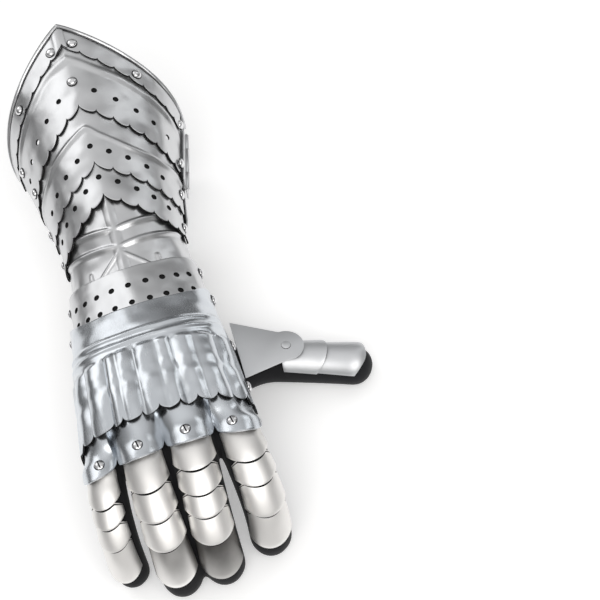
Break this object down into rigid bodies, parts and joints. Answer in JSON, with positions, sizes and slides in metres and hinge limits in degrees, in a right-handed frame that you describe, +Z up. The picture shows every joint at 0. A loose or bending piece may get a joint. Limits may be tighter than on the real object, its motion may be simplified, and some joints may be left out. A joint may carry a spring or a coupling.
{
  "type": "gauntlet",
  "caption": "Armoured steel gauntlet for the right hand: scalloped cuff plates, ribbed wrist, fluted hand plate, scaled fingers and thumb over a black leather glove, lying palm down",
  "frame": {"origin": "under the middle of the gauntlet's box, on the surface that it lies on", "axes": "+X to the thumb side, +Y from the fingers to the cuff's opening, +Z up"},
  "size_m": [0.2084, 0.4156, 0.1324],
  "materials": {
    "cuff_steel": "bright satin, lightly polished",
    "hand_steel": "satin, slightly blue",
    "scale_steel": "bright satin, slightly warm",
    "thumb_steel": "flat grey satin",
    "rivet_steel": "polished domes",
    "black_leather": "matt, fine napped"
  },
  "bodies": {
    "cuff": {"border_band_little_side": "cuff_steel", "border_band_thumb_side": "cuff_steel", "border_rivet_little_side": "rivet_steel", "border_rivet_little_side_peak": "rivet_steel", "border_rivet_thumb_side": "rivet_steel", "border_rivet_thumb_side_peak": "rivet_steel", "cuff_lower_plate": "cuff_steel", "cuff_middle_plate": "cuff_steel", "cuff_upper_plate": "cuff_steel", "hinge_leaf_cuff": "cuff_steel", "hinge_pin": "rivet_steel", "lower_plate_rivet_little_side": "rivet_steel", "lower_plate_rivet_thumb_side": "rivet_steel", "middle_plate_rivet_little_side": "rivet_steel", "middle_plate_rivet_thumb_side": "rivet_steel", "ribbed_wrist_plate": "cuff_steel", "ridge_rivet": "rivet_steel"},
    "underarm_plate": {"underarm_plate": "cuff_steel", "hinge_leaf_underarm": "cuff_steel"},
    "wrist_lame": {"wrist_lame": "cuff_steel", "wrist_rivet_little_side": "rivet_steel", "wrist_rivet_thumb_side": "rivet_steel"},
    "hand": {"glove": "black_leather", "hand_pivot_rivet_little_side": "rivet_steel", "hand_pivot_rivet_thumb_side": "rivet_steel", "hand_plate": "hand_steel", "hand_side_rivet_little_side": "rivet_steel", "hand_side_rivet_thumb_side": "rivet_steel", "knuckle_plate": "hand_steel", "knuckle_rivet_little_side": "rivet_steel", "knuckle_rivet_thumb_side": "rivet_steel", "knuckle_screw_index": "rivet_steel", "knuckle_screw_little": "rivet_steel", "knuckle_screw_middle": "rivet_steel", "knuckle_screw_ring": "rivet_steel", "scale_index_1": "scale_steel", "scale_index_2": "scale_steel", "scale_index_3": "scale_steel", "scale_index_4": "scale_steel", "scale_little_1": "scale_steel", "scale_little_2": "scale_steel", "scale_little_3": "scale_steel", "scale_little_4": "scale_steel", "scale_middle_1": "scale_steel", "scale_middle_2": "scale_steel", "scale_middle_3": "scale_steel", "scale_middle_4": "scale_steel", "scale_middle_5": "scale_steel", "scale_ring_1": "scale_steel", "scale_ring_2": "scale_steel", "scale_ring_3": "scale_steel", "scale_ring_4": "scale_steel", "scale_thumb_1": "thumb_steel", "scale_thumb_2": "thumb_steel", "thumb_rivet": "rivet_steel", "thumb_wing_plate": "thumb_steel"}
  },
  "joints": [
    {"name": "cuff_hinge", "type": "hinge", "parent": "cuff", "child": "underarm_plate", "pos_m": [0.0178, 0.08989, 0.04361], "axis": [-0.2015, -0.9795, 0], "range_deg": [0, 75]},
    {"name": "wrist_lame_pivot", "type": "hinge", "parent": "cuff", "child": "wrist_lame", "pos_m": [-0.03646, 0.00258, 0.05174], "axis": [1, 0, 0], "range_deg": [0, 8]},
    {"name": "hand_pivot", "type": "hinge", "parent": "wrist_lame", "child": "hand", "pos_m": [-0.03646, -0.02332, 0.05174], "axis": [1, 0, 0], "range_deg": [0, 8]}
  ]
}
